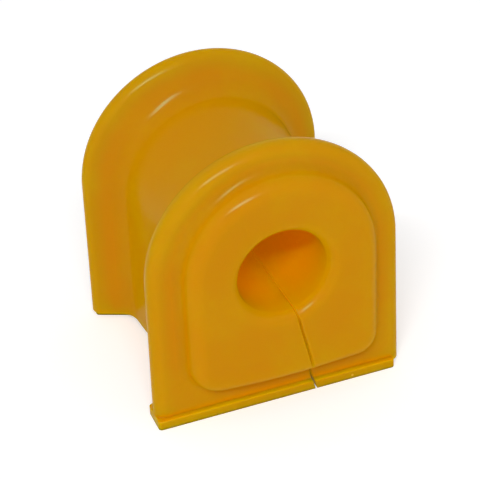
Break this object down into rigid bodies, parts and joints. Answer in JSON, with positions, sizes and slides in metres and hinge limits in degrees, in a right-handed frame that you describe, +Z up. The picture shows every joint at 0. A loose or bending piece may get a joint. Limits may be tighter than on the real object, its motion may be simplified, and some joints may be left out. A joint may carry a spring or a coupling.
{
  "type": "sway bar bushing",
  "caption": "Amber polyurethane sway bar bushing: two flanges over a narrow waist, a bar bore and a slit to the base.",
  "frame": {"origin": "on the axis of the bar bore, at the middle of the bushing's length", "axes": "+Y along the bar, away from the end that the picture shows; +Z up, away from the flat base"},
  "size_m": [0.0568, 0.0584, 0.0618],
  "materials": {
    "polyurethane": "satin"
  },
  "bodies": {
    "root": {"bushing": "polyurethane"}
  },
  "joints": []
}
